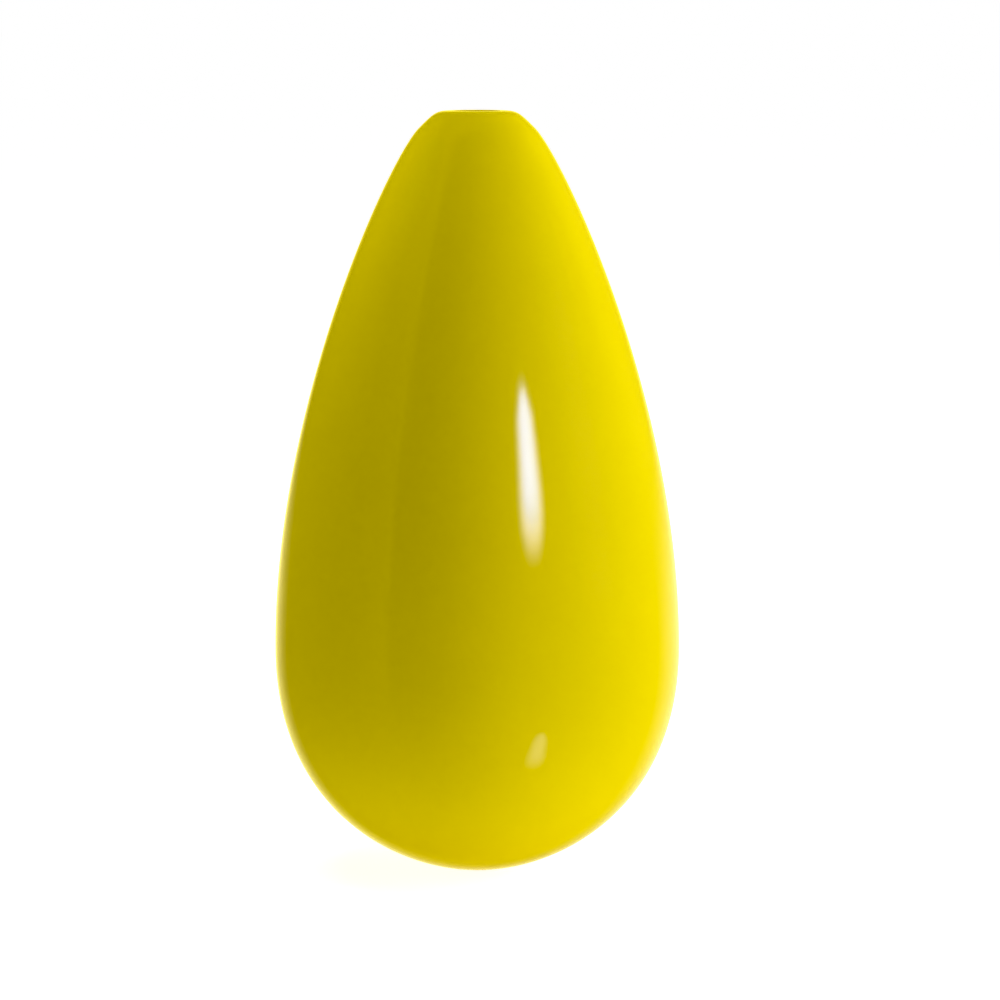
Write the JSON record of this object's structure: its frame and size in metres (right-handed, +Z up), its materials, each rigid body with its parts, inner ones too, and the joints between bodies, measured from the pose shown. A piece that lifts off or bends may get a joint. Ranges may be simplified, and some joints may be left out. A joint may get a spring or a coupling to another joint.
{
  "type": "teardrop bud vase",
  "caption": "Glossy yellow teardrop bud vase: seamless shell weighted low down, with a small mouth at the tip that holds a lift-out glass water tube.",
  "frame": {"origin": "centre of the flat foot, on the surface that the vase stands on", "axes": "+Z up along the axis of revolution, from the foot to the mouth; X and Y are free, because the vase is round"},
  "size_m": [0.128, 0.128, 0.24],
  "materials": {
    "yellow_gloss": "high-gloss opaque lemon-yellow lacquer, seamless",
    "ballast_mortar": "poured mortar, rough",
    "foot_rubber": "matt moulded rubber",
    "clear_glass": "clear drawn glass, fire-polished rim",
    "collar_silicone": "translucent natural silicone, ribbed"
  },
  "bodies": {
    "vase": {"body_shell": "yellow_gloss", "ballast": "ballast_mortar", "foot_plug": "foot_rubber"},
    "tube": {"water_tube": "clear_glass", "tube_collar": "collar_silicone"}
  },
  "joints": [
    {"name": "tube_lift", "type": "slide", "parent": "vase", "child": "tube", "axis": [0, 0, 1], "range_m": [0, 0.155]}
  ]
}
